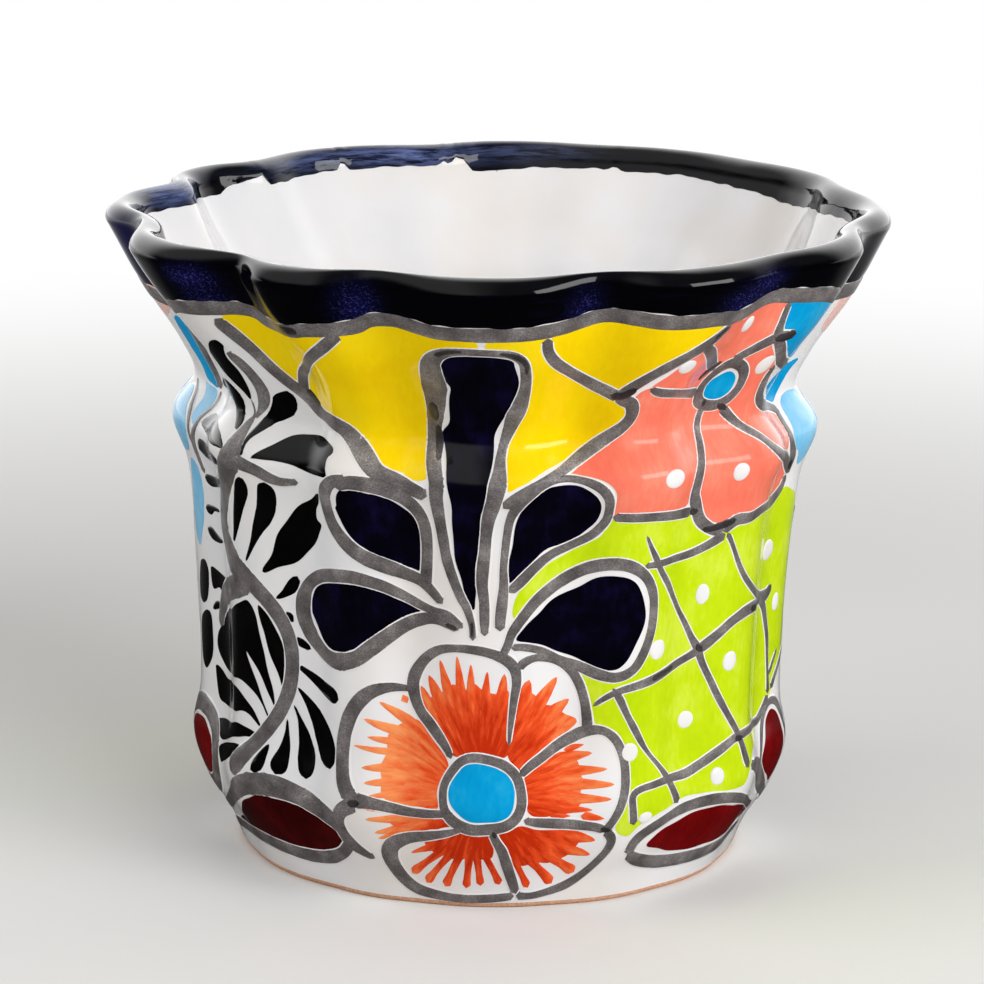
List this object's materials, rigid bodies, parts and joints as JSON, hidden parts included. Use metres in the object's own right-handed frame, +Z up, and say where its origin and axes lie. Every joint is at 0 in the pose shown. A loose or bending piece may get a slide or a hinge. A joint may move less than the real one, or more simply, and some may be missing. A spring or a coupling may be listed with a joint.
{
  "type": "ceramic planter",
  "caption": "Fluted glazed planter with a flared collar, a shoulder ring and a rolled wavy rim, on a foot ring with a drain hole.",
  "frame": {"origin": "centre of the foot on the table, under the middle of the pot", "axes": "+Z up to the rim; -Y is the painted front, so +X is the viewer's right"},
  "size_m": [0.2313, 0.2301, 0.1937],
  "materials": {
    "foot_glaze": "cream glaze, worn thin at the foot ring; the recessed underside is bare clay",
    "white_glaze": "glossy white glaze, painted outside with flowers and leaves in coloured glazes",
    "cobalt_glaze": "very glossy, nearly black cobalt blue glaze"
  },
  "bodies": {
    "root": {"floor_disc": "foot_glaze", "body_wall": "white_glaze", "rim_coil": "cobalt_glaze"}
  },
  "joints": []
}
